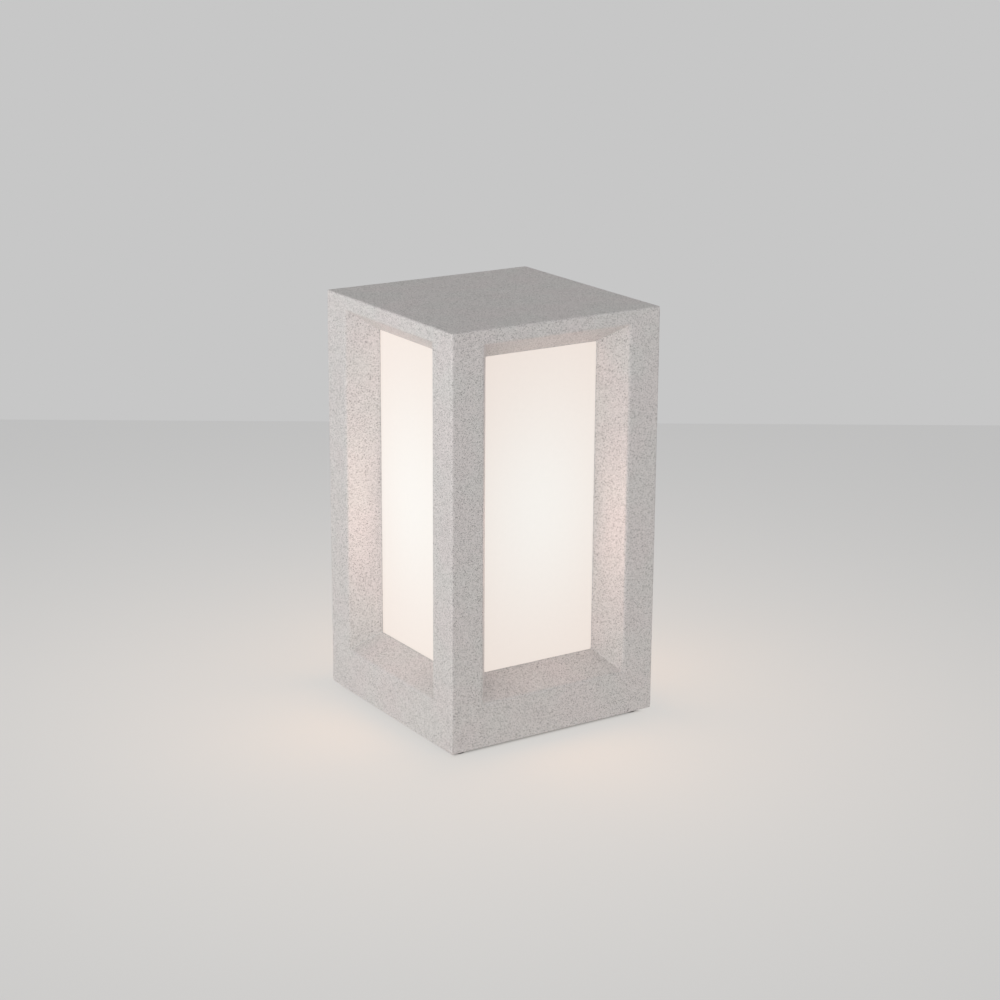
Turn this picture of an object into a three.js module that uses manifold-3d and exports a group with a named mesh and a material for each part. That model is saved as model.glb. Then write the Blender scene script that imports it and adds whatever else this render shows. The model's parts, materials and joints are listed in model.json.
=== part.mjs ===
// A square cast-stone lantern: a one-piece stone shell with four bevelled windows, opal panels
// behind them, and a steel base tray that carries the lampholder, the wiring and four rubber feet.
// Millimetres, +Z up. The origin is on the floor, at the middle of the footprint.
import * as THREE from "three";
import { mergeVertices } from "three/addons/utils/BufferGeometryUtils.js";
import Module from "manifold-3d";

const wasm = await Module();
wasm.setup();

// ---- driving dimensions ----
const WIDTH = 200; // the stone is square in plan
const STONE_HEIGHT = 350;
const FOOT_HEIGHT = 4; // the stone's underside stands this far off the floor
const EDGE_ROUND = 2; // the stone's outer corners
const WALL = 25; // the stone's thickness at the windows
const ROOF = 17; // the stone's thickness at the top
const POST = 30; // from the stone's corner to the window, on the outer face
const HEAD = 12; // from the top face to the window, on the outer face
const SILL = 38.5; // from the underside to the window, on the outer face
const BEVEL = 17; // how far each window narrows through the wall
const GAP = 0.3; // between parts that touch

const PANEL_THICK = 3;
const PANEL_LAP = 7; // how far a panel reaches past its window on each side
const SEAL_WIDTH = 3.5;
const SEAL_THICK = 3.8;

const TRAY_THICK = 1.5;
const TRAY_HALF = 93.5;
const TRAY_CORNER = 6;
const REBATE_HALF = 94; // the stone's rebate that the tray lies in
const GASKET_THICK = 2;
const GASKET_OUTER = 93;
const GASKET_INNER = 76;
const HAT_HALF = 57; // the raised middle of the tray
const DECK_TOP = 34;
const TUNNEL_HALF = 7.5; // the pressed cable tunnel at the rear, outside its sheet
const TUNNEL_TOP = 15.5;
const CABLE_NOTCH_HALF = 6.5; // the notch in the stone's rear lip
const CABLE_NOTCH_TOP = 14.5;

const FOOT_RADIUS = 6.5;
const FOOT_CENTRE = 86;
const SCREW_X = 60; // the base screws, in the stone's rim
const SCREW_Y = 84.5;
const SCREW_RADIUS = 2;
const INSERT_RADIUS = 3.5;
const INSERT_LENGTH = 12;
const BASE_SCREW_END = 18;

// screws: radius of the thread, radius and height of the head
const M4 = [SCREW_RADIUS, 3.8, 2.4];
const M3 = [1.4, 2.6, 1.9];
const M2_5 = [1.2, 2.2, 1.6];
const M3_HOLE = 1.8;

const BRACKET_THICK = 1.5;
const BRACKET_LEG = 25.5; // outer face of each leg
const BRACKET_REACH = 40; // end of each foot flange
const BRACKET_DEPTH = 36;
const BRACKET_TOP = 88;
const BRACKET_SCREW_X = 33;

const HOLDER_RADIUS = 21;
const HOLDER_HEIGHT = 48;
const HOLDER_BORE = 15;
const HOLDER_FLOOR = 104;
const HOLDER_SCREW_X = 9;
const HOLDER_WIRE_X = 8;
const HOLDER_WIRE_Z = 93.5;
const HOLDER_TERMINAL_Z = 99;
const HOLDER_TERMINAL_Y = -17.6;
const WIRE_HOLE = 1.7;
const TERMINAL_HOLE = 2.6;

const BULB_TIP = 113; // underside of the bulb's centre contact
const BULB_CAP_TOP = 137;
const BULB_NECK = 165;
const BULB_CENTRE = 192;
const BULB_RADIUS = 30;
const CAP_RADIUS = 13.1; // over the crests of the cap's thread

const BLOCK_Y = -38; // the terminal block on the deck
const BLOCK_PITCH = 12;
const BLOCK_SIZE = [38, 16, 12];
const BLOCK_WIRE_Z = 40;
const BLOCK_SINK = 2.9; // the sunk seat of its fixing screw
const BLOCK_SINK_DEEP = 3;
const EARTH_SCREW = [40, -40];
const GLAND_Z = 19;
const GLAND_THREAD = 7.8; // radii of the M16 cable gland
const GLAND_HOLE = 8.1;
const GLAND_COLLET = 8.5;
const GLAND_SEAT = 7.5;
const GLAND_BORE = 5.2;
const GLAND_MOUTH = 5.4;
const GLAND_SEAL_BORE = 3.6;
const GLAND_HEX_FLATS = 21;
const WIRE_RADIUS = 1.1;

// ---- worked out from them ----
const HALF = WIDTH / 2;
const STONE_BASE = FOOT_HEIGHT;
const STONE_TOP = STONE_BASE + STONE_HEIGHT;
const CAVITY_HALF = HALF - WALL;
const CAVITY_TOP = STONE_TOP - ROOF;
const WINDOW = { half: HALF - POST, low: STONE_BASE + SILL, high: STONE_TOP - HEAD };
const OPENING = {
  half: WINDOW.half - BEVEL,
  low: WINDOW.low + BEVEL,
  high: WINDOW.high - BEVEL,
};
const REBATE_TOP = STONE_BASE + TRAY_THICK + GASKET_THICK + 2 * GAP;
const FLANGE_TOP = STONE_BASE + TRAY_THICK;
const GASKET_LOW = FLANGE_TOP + GAP;
const SADDLE_HALF = TUNNEL_HALF + GAP + GASKET_THICK;
const SADDLE_TOP = TUNNEL_TOP + GAP + GASKET_THICK;
const HAT_INNER = HAT_HALF - TRAY_THICK;
const HOLDER_BASE = BRACKET_TOP + GAP;
const SIDES = ["front", "right", "back", "left"];
const CORNERS = [
  [-1, -1],
  [1, -1],
  [1, 1],
  [-1, 1],
];

// ---- materials ----
const finish = (color, roughness, metalness = 0) =>
  new THREE.MeshStandardMaterial({ color, roughness, metalness });
const STONE = finish(0xb8b3b0, 0.9);
const OPAL = finish(0xf8f4ee, 0.5);
const SILICONE = finish(0xe6e2dc, 0.7);
const RUBBER = finish(0x1c1c1c, 0.85);
const ZINC = finish(0xb4b8ba, 0.4, 0.9);
const STAINLESS = finish(0xc8c8c6, 0.3, 1);
const BRASS = finish(0xc8a85a, 0.3, 1);
const NICKEL = finish(0xcfcac0, 0.25, 1);
const PORCELAIN = finish(0xf1eee6, 0.2);
const POLYAMIDE = finish(0x26272a, 0.6);
const BLOCK_PLASTIC = finish(0xeeeae0, 0.6);
const BULB_PLASTIC = finish(0xf4f3f0, 0.35);
const BULB_OPAL = finish(0xfbf8f2, 0.4);
const BLACK_GLASS = finish(0x151515, 0.15);
const BOARD_WHITE = finish(0xe9ebe6, 0.5);
const WIRE_COLOURS = { live: 0x6b3f24, neutral: 0x2a63b0, earth: 0x6fae3a };

// ---- geometry helpers ----

// A closed three.js geometry as a solid that can be cut and joined.
function solid(geometry) {
  const bare = geometry.index ? geometry.toNonIndexed() : geometry.clone();
  bare.deleteAttribute("normal");
  bare.deleteAttribute("uv");
  const merged = mergeVertices(bare, 1e-4);
  return new wasm.Manifold(
    new wasm.Mesh({
      numProp: 3,
      vertProperties: merged.attributes.position.array,
      triVerts: new Uint32Array(merged.index.array),
    }),
  );
}

function geometryOf(manifold) {
  const mesh = manifold.getMesh();
  const geometry = new THREE.BufferGeometry();
  geometry.setAttribute("position", new THREE.BufferAttribute(mesh.vertProperties, 3));
  geometry.setIndex(new THREE.BufferAttribute(mesh.triVerts, 1));
  geometry.computeVertexNormals();
  return geometry;
}

function cut(base, ...tools) {
  let result = solid(base);
  for (const tool of tools) result = result.subtract(solid(tool));
  return geometryOf(result);
}

function join(...pieces) {
  let result = solid(pieces[0]);
  for (const piece of pieces.slice(1)) result = result.add(solid(piece));
  return geometryOf(result);
}

function block(x0, x1, y0, y1, z0, z1) {
  const box = new THREE.BoxGeometry(x1 - x0, y1 - y0, z1 - z0);
  return box.translate((x0 + x1) / 2, (y0 + y1) / 2, (z0 + z1) / 2);
}

// A square block about the Z axis.
const squareBlock = (half, z0, z1) => block(-half, half, -half, half, z0, z1);

// A profile of [radius, height] points turned about the Z axis.
function turned(points, segments = 32) {
  const profile = points.map(([r, z]) => new THREE.Vector2(r, z));
  return new THREE.LatheGeometry(profile, segments).rotateX(Math.PI / 2);
}

// A round bar along Z. With six segments it is a hexagon, and radius is to its corners.
const rod = (radius, z0, z1, segments = 16) =>
  turned([[0, z0], [radius, z0], [radius, z1], [0, z1]], segments);

// The same along Y, with its first end at y0.
const rodAlongY = (radius, y0, y1, segments = 16) =>
  rod(radius, y0, y1, segments).rotateX(-Math.PI / 2);

const hexRadius = (acrossFlats) => acrossFlats / Math.sqrt(3);

function roundedSquare(half, corner) {
  const shape = new THREE.Shape();
  const straight = half - corner;
  shape.absarc(straight, straight, corner, 0, Math.PI / 2);
  shape.absarc(-straight, straight, corner, Math.PI / 2, Math.PI);
  shape.absarc(-straight, -straight, corner, Math.PI, 1.5 * Math.PI);
  shape.absarc(straight, -straight, corner, 1.5 * Math.PI, 2 * Math.PI);
  return shape;
}

function raised(shape, z0, z1, curveSegments = 4) {
  const options = { depth: z1 - z0, bevelEnabled: false, curveSegments };
  return new THREE.ExtrudeGeometry(shape, options).translate(0, 0, z0);
}

// An outline of [across, up] points drawn in the XZ plane and given its width along Y.
function extrudedAlongY(points, y0, y1) {
  const shape = new THREE.Shape(points.map(([x, z]) => new THREE.Vector2(x, z)));
  const geometry = new THREE.ExtrudeGeometry(shape, { depth: y1 - y0, bevelEnabled: false });
  return geometry.rotateX(Math.PI / 2).translate(0, y1, 0);
}

function wireAlong(points) {
  const path = new THREE.CatmullRomCurve3(points.map((p) => new THREE.Vector3(...p)));
  const section = new THREE.Shape().absarc(0, 0, WIRE_RADIUS, 0, 2 * Math.PI);
  const options = { steps: 18, extrudePath: path, curveSegments: 4 };
  return new THREE.ExtrudeGeometry(section, options);
}

// Turned from the front side (-Y) to another side of the lantern.
const onSide = (geometry, side) => geometry.rotateZ((SIDES.indexOf(side) * Math.PI) / 2);

// ---- assembly ----
const group = new THREE.Group();
const shell = new THREE.Group();
const base = new THREE.Group();
const bulb = new THREE.Group();
group.add(shell, base, bulb);

function add(parent, name, geometry, material, position = [0, 0, 0]) {
  const mesh = new THREE.Mesh(geometry, material);
  mesh.name = name;
  mesh.position.set(...position);
  parent.add(mesh);
  return mesh;
}

// ---- the shell: stone, panels, seals and inserts ----

// The tapering hole of one window, on the front side, run on past both faces of the wall.
function windowTool() {
  const outside = 5;
  const inside = 5;
  const slope = BEVEL / WALL;
  const ring = (past, y) => {
    const grow = BEVEL + past * slope;
    const half = OPENING.half + grow;
    const low = OPENING.low - grow;
    const high = OPENING.high + grow;
    return [[-half, y, low], [half, y, low], [half, y, high], [-half, y, high]];
  };
  const straight = (y) => {
    const { half, low, high } = OPENING;
    return [[-half, y, low], [half, y, low], [half, y, high], [-half, y, high]];
  };
  const rings = [
    ring(outside, -HALF - outside),
    straight(-CAVITY_HALF),
    straight(-CAVITY_HALF + inside),
  ];
  const positions = rings.flat(2);
  const faces = [[0, 1, 2], [0, 2, 3]];
  for (let r = 0; r < rings.length - 1; r++) {
    for (let i = 0; i < 4; i++) {
      const a = 4 * r + i;
      const b = 4 * r + ((i + 1) % 4);
      faces.push([a, a + 4, b], [b, a + 4, b + 4]);
    }
  }
  const last = 4 * (rings.length - 1);
  faces.push([last, last + 2, last + 1], [last, last + 3, last + 2]);
  const geometry = new THREE.BufferGeometry();
  geometry.setAttribute("position", new THREE.Float32BufferAttribute(positions, 3));
  geometry.setIndex(faces.flat());
  return geometry;
}

// The stone before it is hollowed. The bevel rounds all its outer edges.
function stoneBlock() {
  const inset = HALF - EDGE_ROUND;
  const nearlySharp = 0.01;
  const options = {
    depth: STONE_HEIGHT - 2 * EDGE_ROUND,
    bevelEnabled: true,
    bevelThickness: EDGE_ROUND,
    bevelSize: EDGE_ROUND,
    bevelSegments: 2,
    curveSegments: 2,
  };
  const rounded = new THREE.ExtrudeGeometry(roundedSquare(inset, nearlySharp), options);
  return rounded.translate(0, 0, STONE_BASE + EDGE_ROUND);
}

function makeStone() {
  const holes = [];
  for (const side of SIDES) holes.push(onSide(windowTool(), side));
  for (const [sx, sy] of CORNERS) {
    const hole = rod(INSERT_RADIUS + GAP, STONE_BASE, REBATE_TOP + INSERT_LENGTH + 1);
    holes.push(hole.translate(sx * SCREW_X, sy * SCREW_Y, 0));
  }
  const under = STONE_BASE - 5;
  const saddleRoom = block(
    -SADDLE_HALF - GAP, SADDLE_HALF + GAP,
    CAVITY_HALF - 5, REBATE_HALF,
    under, SADDLE_TOP + GAP,
  );
  const cableNotch = block(
    -CABLE_NOTCH_HALF, CABLE_NOTCH_HALF,
    REBATE_HALF - 5, HALF + 5,
    under, CABLE_NOTCH_TOP,
  );
  return cut(
    stoneBlock(),
    squareBlock(CAVITY_HALF, under, CAVITY_TOP),
    squareBlock(REBATE_HALF, under, REBATE_TOP),
    saddleRoom,
    cableNotch,
    ...holes,
  );
}

function makePanel() {
  const half = OPENING.half + PANEL_LAP;
  const face = -CAVITY_HALF + GAP;
  const low = OPENING.low - PANEL_LAP;
  const high = OPENING.high + PANEL_LAP;
  return block(-half, half, face, face + PANEL_THICK, low, high);
}

// A bead of silicone round the panel's edge.
function makeSeal() {
  const face = -CAVITY_HALF + GAP;
  const inner = PANEL_LAP + GAP;
  const outer = inner + SEAL_WIDTH;
  const frame = (grow, y0, y1) =>
    block(
      -OPENING.half - grow, OPENING.half + grow,
      y0, y1,
      OPENING.low - grow, OPENING.high + grow,
    );
  return cut(frame(outer, face, face + SEAL_THICK), frame(inner, face - 1, face + SEAL_THICK + 1));
}

function makeInsert() {
  const low = REBATE_TOP + GAP;
  return cut(
    rod(INSERT_RADIUS, low, low + INSERT_LENGTH),
    rod(SCREW_RADIUS + GAP, low - 1, low + INSERT_LENGTH + 1),
  );
}

add(shell, "stone_shell", makeStone(), STONE);
for (const side of SIDES) {
  add(shell, `opal_panel_${side}`, onSide(makePanel(), side), OPAL);
  add(shell, `panel_seal_${side}`, onSide(makeSeal(), side), SILICONE);
}
CORNERS.forEach(([sx, sy], i) => {
  add(shell, `threaded_insert_${i + 1}`, makeInsert(), BRASS, [sx * SCREW_X, sy * SCREW_Y, 0]);
});

// ---- the base: tray, gasket, feet and screws ----
function makeTray() {
  const under = STONE_BASE - 5;
  const flange = raised(roundedSquare(TRAY_HALF, TRAY_CORNER), STONE_BASE, FLANGE_TOP);
  const hat = raised(roundedSquare(HAT_HALF, TRAY_CORNER), STONE_BASE, DECK_TOP);
  const tunnel = block(
    -TUNNEL_HALF, TUNNEL_HALF, HAT_HALF - 5, TRAY_HALF, STONE_BASE, TUNNEL_TOP,
  );
  const hollow = raised(
    roundedSquare(HAT_INNER, TRAY_CORNER - TRAY_THICK), under, DECK_TOP - TRAY_THICK,
  );
  const tunnelHollow = block(
    -TUNNEL_HALF + TRAY_THICK, TUNNEL_HALF - TRAY_THICK,
    HAT_INNER - 8, TRAY_HALF + 5,
    under, TUNNEL_TOP - TRAY_THICK,
  );
  const clearance = SCREW_RADIUS + GAP;
  const holes = CORNERS.map(([sx, sy]) =>
    rod(clearance, under, DECK_TOP).translate(sx * SCREW_X, sy * SCREW_Y, 0),
  );
  for (const sx of [-1, 1]) {
    const hole = rod(clearance, HAT_HALF / 2, DECK_TOP + 5);
    holes.push(hole.translate(sx * BRACKET_SCREW_X, 0, 0));
  }
  const blockHole = rod(SCREW_RADIUS, HAT_HALF / 2, DECK_TOP + 5);
  holes.push(blockHole.translate(BLOCK_PITCH / 2, BLOCK_Y, 0));
  const earthHole = rod(clearance, HAT_HALF / 2, DECK_TOP + 5);
  holes.push(earthHole.translate(...EARTH_SCREW, 0));
  const glandHole = rodAlongY(GLAND_HOLE, -HAT_HALF - 5, -HAT_INNER + 5);
  holes.push(glandHole.translate(0, 0, GLAND_Z));
  return cut(join(flange, hat, tunnel), hollow, tunnelHollow, ...holes);
}

function makeGasket() {
  const low = GASKET_LOW;
  const high = GASKET_LOW + GASKET_THICK;
  const ring = raised(roundedSquare(GASKET_OUTER, TRAY_CORNER), low, high);
  const saddle = block(
    -SADDLE_HALF, SADDLE_HALF, GASKET_INNER, GASKET_OUTER, low, SADDLE_TOP,
  );
  const room = block(
    -TUNNEL_HALF - GAP, TUNNEL_HALF + GAP,
    GASKET_INNER - 5, GASKET_OUTER + 5,
    low - 5, TUNNEL_TOP + GAP,
  );
  const holes = CORNERS.map(([sx, sy]) =>
    rod(SCREW_RADIUS + 2 * GAP, low - 1, high + 1).translate(sx * SCREW_X, sy * SCREW_Y, 0),
  );
  return cut(join(ring, saddle), squareBlock(GASKET_INNER, low - 1, high + 1), room, ...holes);
}

// A rubber disc with a softened lower edge.
function makeFoot() {
  const soft = 0.8;
  const top = STONE_BASE - GAP;
  return turned([
    [0, 0],
    [FOOT_RADIUS - soft, 0],
    [FOOT_RADIUS, soft],
    [FOOT_RADIUS, top],
    [0, top],
  ], 24);
}

// A pan-head screw pointing up, its head under z = seat, with a hexagon socket.
function makeScrewUp([radius, headRadius, headHeight], seat, end) {
  const low = seat - headHeight;
  const body = turned([
    [0, low],
    [headRadius * 0.72, low],
    [headRadius, low + headHeight * 0.45],
    [headRadius, seat],
    [radius, seat],
    [radius, end - radius * 0.4],
    [radius * 0.6, end],
    [0, end],
  ], 14);
  return cut(body, rod(radius * 0.62, low - 1, low + headHeight * 0.6, 6));
}

// The same screw pointing down, its head on z = seat.
function makeScrewDown(size, seat, end) {
  const up = makeScrewUp(size, 0, seat - end);
  return up.rotateX(Math.PI).translate(0, 0, seat);
}

add(base, "base_tray", makeTray(), ZINC);
add(base, "base_gasket", makeGasket(), RUBBER);
CORNERS.forEach(([sx, sy], i) => {
  const screw = makeScrewUp(M4, STONE_BASE - GAP, BASE_SCREW_END);
  add(base, `base_screw_${i + 1}`, screw, STAINLESS, [sx * SCREW_X, sy * SCREW_Y, 0]);
  add(base, `foot_${i + 1}`, makeFoot(), RUBBER, [sx * FOOT_CENTRE, sy * FOOT_CENTRE, 0]);
});

// ---- the lampholder on its bracket ----
function makeBracket() {
  const foot = DECK_TOP + GAP;
  const inner = BRACKET_LEG - BRACKET_THICK;
  const ledge = foot + BRACKET_THICK;
  const half = [
    [BRACKET_REACH, foot],
    [BRACKET_REACH, ledge],
    [BRACKET_LEG, ledge],
    [BRACKET_LEG, BRACKET_TOP],
  ];
  const under = [
    [-inner, BRACKET_TOP - BRACKET_THICK],
    [inner, BRACKET_TOP - BRACKET_THICK],
    [inner, foot],
  ];
  const mirrored = half.map(([x, z]) => [-x, z]).reverse();
  const outline = [...half, ...mirrored, [-inner, foot], ...under];
  const strip = extrudedAlongY(outline, -BRACKET_DEPTH / 2, BRACKET_DEPTH / 2);
  const holes = [];
  for (const sx of [-1, 1]) {
    const footHole = rod(SCREW_RADIUS + GAP, foot - 1, ledge + 1);
    const topHole = rod(M3_HOLE, BRACKET_TOP - 5, BRACKET_TOP + 1);
    holes.push(footHole.translate(sx * BRACKET_SCREW_X, 0, 0));
    holes.push(topHole.translate(sx * HOLDER_SCREW_X, 0, 0));
  }
  return cut(strip, ...holes);
}

function makeHolderBody() {
  const top = HOLDER_BASE + HOLDER_HEIGHT;
  const collar = 1.5;
  const outer = turned([
    [0, HOLDER_BASE],
    [HOLDER_RADIUS - collar, HOLDER_BASE],
    [HOLDER_RADIUS, HOLDER_BASE + collar],
    [HOLDER_RADIUS, HOLDER_FLOOR + 4],
    [HOLDER_RADIUS - 2, HOLDER_FLOOR + 6],
    [HOLDER_RADIUS - 2, top - collar],
    [HOLDER_RADIUS - 2 - collar, top],
    [0, top],
  ], 32);
  const tools = [rod(HOLDER_BORE, HOLDER_FLOOR, top + 1, 32)];
  for (const sx of [-1, 1]) {
    const x = sx * HOLDER_WIRE_X;
    tools.push(rod(M3_HOLE, HOLDER_BASE - 1, HOLDER_FLOOR + 1).translate(sx * HOLDER_SCREW_X, 0, 0));
    tools.push(rodAlongY(WIRE_HOLE, -HOLDER_RADIUS - 1, -12).translate(x, 0, HOLDER_WIRE_Z));
    tools.push(rodAlongY(TERMINAL_HOLE, -HOLDER_RADIUS - 1, -15).translate(x, 0, HOLDER_TERMINAL_Z));
  }
  return cut(outer, ...tools);
}

// The metal sleeve that the bulb's cap turns in.
function makeThreadShell() {
  const low = HOLDER_FLOOR + 4;
  const high = HOLDER_BASE + HOLDER_HEIGHT - 2;
  const outer = HOLDER_BORE - 0.6;
  return cut(rod(outer, low, high, 28), rod(outer - 0.6, low - 1, high + 1, 28));
}

// A brass tongue that rises from its foot to the middle of the holder.
function makeCentreContact() {
  const low = HOLDER_FLOOR + GAP;
  const top = BULB_TIP - GAP;
  const sheet = 0.6;
  const outline = [
    [12, low],
    [12, low + sheet],
    [5.4, low + sheet],
    [2, top],
    [-4, top],
    [-4, top - sheet],
    [1.6, top - sheet],
    [5, low],
  ];
  return extrudedAlongY(outline, -3.5, 3.5).rotateZ(Math.PI / 2);
}

add(base, "lamp_bracket", makeBracket(), ZINC);
[-1, 1].forEach((sx, i) => {
  const seat = DECK_TOP + BRACKET_THICK + 2 * GAP;
  const bracketScrew = makeScrewDown(M4, seat, DECK_TOP - 6);
  add(base, `bracket_screw_${i + 1}`, bracketScrew, STAINLESS, [sx * BRACKET_SCREW_X, 0, 0]);
  const holderScrew = makeScrewDown(M3, HOLDER_FLOOR + GAP, BRACKET_TOP - 5);
  add(base, `lampholder_screw_${i + 1}`, holderScrew, STAINLESS, [sx * HOLDER_SCREW_X, 0, 0]);
  const terminal = makeScrewDown(M2_5, 0, -2.4);
  const place = [sx * HOLDER_WIRE_X, HOLDER_TERMINAL_Y, HOLDER_TERMINAL_Z];
  const name = `lampholder_terminal_screw_${i + 1}`;
  add(base, name, terminal.rotateX(Math.PI / 2), BRASS, place);
});
add(base, "lampholder_body", makeHolderBody(), PORCELAIN);
add(base, "lampholder_thread_shell", makeThreadShell(), NICKEL);
add(base, "lampholder_centre_contact", makeCentreContact(), BRASS);

// ---- terminal block, earth point and internal wires ----
const POLES = [-BLOCK_PITCH, 0, BLOCK_PITCH];

function makeTerminalBlock() {
  const [sx, sy, sz] = BLOCK_SIZE;
  const low = DECK_TOP + GAP;
  const body = block(-sx / 2, sx / 2, BLOCK_Y - sy / 2, BLOCK_Y + sy / 2, low, low + sz);
  const tools = [];
  for (const x of POLES) {
    const wireWay = rodAlongY(1.9, BLOCK_Y - sy, BLOCK_Y + sy, 16);
    tools.push(wireWay.translate(x, 0, BLOCK_WIRE_Z));
    tools.push(rod(2.2, BLOCK_WIRE_Z, low + sz + 1, 16).translate(x, BLOCK_Y, 0));
  }
  const fixing = [BLOCK_PITCH / 2, BLOCK_Y, 0];
  tools.push(rod(M3_HOLE, low - 1, low + sz + 1, 16).translate(...fixing));
  tools.push(rod(BLOCK_SINK, low + sz - BLOCK_SINK_DEEP, low + sz + 1, 16).translate(...fixing));
  return cut(body, ...tools);
}

// A ring with a crimped barrel behind it.
function makeEarthLug() {
  const low = DECK_TOP + GAP;
  const ring = rod(4.2, low, low + 0.8);
  const neck = block(-1.6, 1.6, 2, 7, low, low + 0.8);
  const barrel = rodAlongY(1.7, 6, 12, 16).translate(0, 0, low + 1.7);
  return cut(join(ring, neck, barrel), rod(SCREW_RADIUS + GAP, low - 1, low + 5));
}

add(base, "terminal_block", makeTerminalBlock(), BLOCK_PLASTIC);
POLES.forEach((x, i) => {
  const top = DECK_TOP + GAP + BLOCK_SIZE[2] - 1;
  const screw = cut(rod(1.8, top - 3.2, top, 16), block(-3, 3, -0.35, 0.35, top - 0.8, top + 1));
  add(base, `terminal_screw_${i + 1}`, screw, BRASS, [x, BLOCK_Y, 0]);
});
const blockSeat = DECK_TOP + GAP + BLOCK_SIZE[2] - BLOCK_SINK_DEEP + GAP;
const blockScrew = makeScrewDown(M3, blockSeat, DECK_TOP - 5);
add(base, "terminal_block_screw", blockScrew, STAINLESS, [BLOCK_PITCH / 2, BLOCK_Y, 0]);
add(base, "earth_lug", makeEarthLug(), BRASS, [...EARTH_SCREW, 0]);
const earthSeat = DECK_TOP + 0.8 + 2 * GAP;
const earthScrew = makeScrewDown(M4, earthSeat, DECK_TOP - 6);
add(base, "earth_screw", earthScrew, BRASS, [...EARTH_SCREW, 0]);

const BLOCK_REAR = BLOCK_Y + BLOCK_SIZE[1] / 2;
const WIRE_RISE_Y = -24; // between the block and the bracket, clear of the lampholder
function holderWire(poleX, holderX) {
  return wireAlong([
    [poleX, BLOCK_REAR - 3, BLOCK_WIRE_Z],
    [poleX, BLOCK_REAR + 2.5, BLOCK_WIRE_Z + 0.6],
    [poleX + (holderX - poleX) * 0.2, WIRE_RISE_Y, BLOCK_WIRE_Z + 10],
    [poleX + (holderX - poleX) * 0.7, WIRE_RISE_Y, BLOCK_WIRE_Z + 34],
    [holderX, WIRE_RISE_Y, HOLDER_WIRE_Z - 5],
    [holderX, -21, HOLDER_WIRE_Z],
    [holderX, -15, HOLDER_WIRE_Z],
  ]);
}

function earthWire() {
  const [screwX, screwY] = EARTH_SCREW;
  const end = screwY + 12 + GAP;
  return wireAlong([
    [BLOCK_PITCH, BLOCK_REAR - 3, BLOCK_WIRE_Z],
    [BLOCK_PITCH, BLOCK_REAR + 2.5, BLOCK_WIRE_Z + 0.6],
    [BLOCK_PITCH + 4, BLOCK_REAR + 6.5, BLOCK_WIRE_Z + 1.5],
    [screwX - 14, BLOCK_REAR + 9, BLOCK_WIRE_Z + 1],
    [screwX - 3, end + 7, DECK_TOP + 4.5],
    [screwX, end + 3, DECK_TOP + 2.4],
    [screwX, end, DECK_TOP + 2],
  ]);
}

const wireFinish = (name) => finish(WIRE_COLOURS[name], 0.5);
add(base, "live_wire", holderWire(-BLOCK_PITCH, -HOLDER_WIRE_X), wireFinish("live"));
add(base, "neutral_wire", holderWire(0, HOLDER_WIRE_X), wireFinish("neutral"));
add(base, "earth_wire", earthWire(), wireFinish("earth"));

// ---- the cable gland through the front wall of the tray's raised middle ----
const GLAND_WALL = -HAT_INNER; // the wall's rear face, inside the hollow
const WASHER_THICK = 1;
const WASHER_RADIUS = 10.4;
const FLANGE_Y = GLAND_WALL + WASHER_THICK + 2 * GAP;
const FLANGE_THICK = 5;
const COLLET_END = FLANGE_Y + FLANGE_THICK + 8;
const HEX = hexRadius(GLAND_HEX_FLATS);
const LOCKNUT_THICK = 4.5;
const SEAL_LENGTH = 6;

function ringAlongY(outer, inner, y0, y1, segments = 28) {
  return cut(rodAlongY(outer, y0, y1, segments), rodAlongY(inner, y0 - 1, y1 + 1));
}

function makeGlandBody() {
  const thread = rodAlongY(GLAND_THREAD, -HAT_HALF - 9, FLANGE_Y + 1, 28);
  const flange = rodAlongY(HEX, FLANGE_Y, FLANGE_Y + FLANGE_THICK, 6);
  const collet = rodAlongY(GLAND_COLLET, FLANGE_Y + FLANGE_THICK - 1, COLLET_END, 28);
  const bore = rodAlongY(GLAND_BORE, -HAT_HALF - 10, COLLET_END + 1);
  const seat = rodAlongY(GLAND_SEAT, COLLET_END - SEAL_LENGTH - 1, COLLET_END + 1);
  return cut(join(thread, flange, collet), bore, seat);
}

function makeDomeNut() {
  const low = FLANGE_Y + FLANGE_THICK + GAP;
  const high = low + 15;
  const hex = rodAlongY(HEX, low, low + 8, 6);
  const dome = turned([[0, low + 7], [10, low + 7], [9.4, low + 12], [6.5, high], [0, high]], 28);
  const room = rodAlongY(GLAND_COLLET + GAP, low - 1, COLLET_END + 1);
  const mouth = rodAlongY(GLAND_MOUTH, low, high + 1);
  return cut(join(hex, dome.rotateX(-Math.PI / 2)), room, mouth);
}

const glandAt = [0, 0, GLAND_Z];
const washer = ringAlongY(
  WASHER_RADIUS, GLAND_HOLE, GLAND_WALL + GAP, GLAND_WALL + GAP + WASHER_THICK,
);
const locknut = cut(
  rodAlongY(HEX, -HAT_HALF - GAP - LOCKNUT_THICK, -HAT_HALF - GAP, 6),
  rodAlongY(GLAND_HOLE, -HAT_HALF - LOCKNUT_THICK - 1, -HAT_HALF + 1),
);
add(base, "gland_body", makeGlandBody(), POLYAMIDE, glandAt);
add(base, "gland_washer", washer, RUBBER, glandAt);
add(base, "gland_locknut", locknut, POLYAMIDE, glandAt);
add(base, "gland_dome_nut", makeDomeNut(), POLYAMIDE, glandAt);
const sealEnd = COLLET_END - 0.5;
const glandSeal = ringAlongY(GLAND_SEAT - GAP, GLAND_SEAL_BORE, sealEnd - SEAL_LENGTH, sealEnd);
add(base, "gland_seal", glandSeal, RUBBER, glandAt);

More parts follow.
